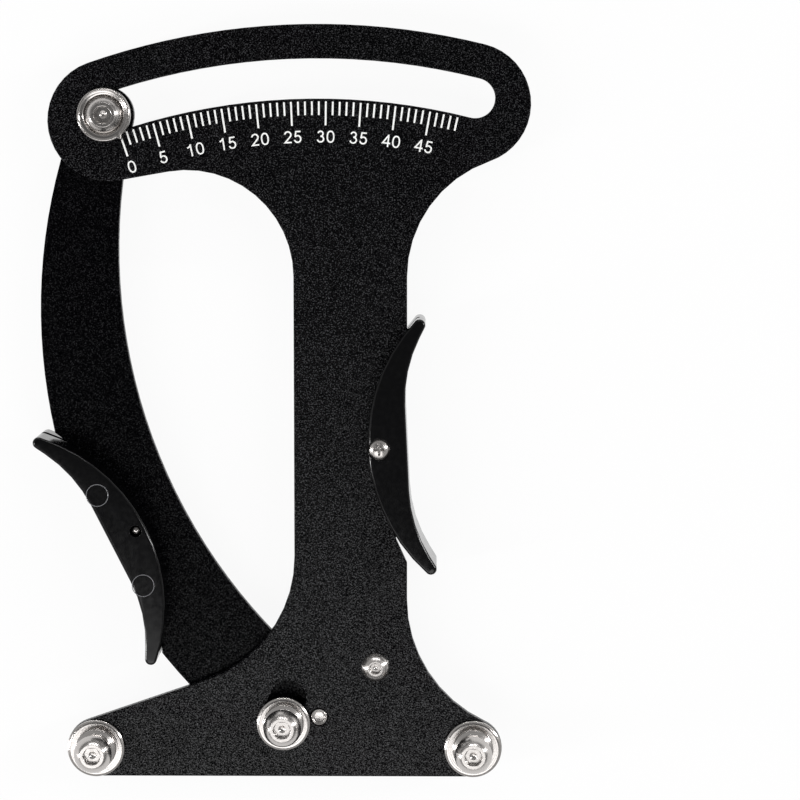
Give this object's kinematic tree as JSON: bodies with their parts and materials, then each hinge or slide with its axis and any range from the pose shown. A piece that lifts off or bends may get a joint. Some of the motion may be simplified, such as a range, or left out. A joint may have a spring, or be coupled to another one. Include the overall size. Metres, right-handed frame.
{
  "type": "spoke tension meter",
  "caption": "Hand tool of two flat steel plates on one pivot, with grooved posts for a spoke, a pointer in a curved slot beside a scale, a return spring and finger grips.",
  "frame": {"origin": "on the pivot axis, in the plane of the pivot pin's flat rear head and the backs of the grips, on which the tool lies", "axes": "+Z out of the front face, +Y from the pivot towards the middle of the scale, +X to the right seen from the front"},
  "size_m": [0.1228, 0.1877, 0.0228],
  "materials": {
    "powder_coat": "fine textured black powder coat on steel",
    "lever_coat": "smoother black powder coat on steel",
    "white_print": "white screen-printed ink",
    "polished_steel": "turned and polished stainless steel",
    "screw_steel": "bright stainless steel",
    "zinc_steel": "zinc-plated steel",
    "spring_wire": "drawn spring wire",
    "bronze": "sintered bronze",
    "grip_plastic": "glossy moulded black plastic",
    "nylon": "black nylon"
  },
  "bodies": {
    "body": {"body_plate": "powder_coat", "scale_ticks": "white_print", "left_post": "polished_steel", "right_post": "polished_steel", "left_post_screw": "screw_steel", "right_post_screw": "screw_steel", "left_post_washer": "zinc_steel", "right_post_washer": "zinc_steel", "left_post_nut": "zinc_steel", "right_post_nut": "zinc_steel", "anchor_screw": "screw_steel", "anchor_post": "zinc_steel", "body_grip": "grip_plastic", "body_grip_screw": "screw_steel", "pivot_pin": "zinc_steel", "spring_hub": "nylon", "return_spring": "spring_wire", "front_thrust_washer": "nylon", "rear_thrust_washer": "zinc_steel"},
    "lever": {"lever_plate": "lever_coat", "pivot_bush": "bronze", "centre_post": "polished_steel", "centre_post_screw": "screw_steel", "lever_grip": "grip_plastic", "lever_grip_screw": "screw_steel", "pointer_slider": "nylon", "pointer": "polished_steel", "pointer_screw": "screw_steel", "pointer_washer": "zinc_steel", "pointer_nut": "zinc_steel"}
  },
  "joints": [
    {"name": "lever_pivot", "type": "hinge", "parent": "body", "child": "lever", "pos_m": [0, 0, 0.0079], "axis": [0, 0, -1], "range_deg": [0, 33], "stiffness_Nm_per_rad": 0.83, "springref_deg": -28.65, "deforming": ["return_spring"]}
  ]
}
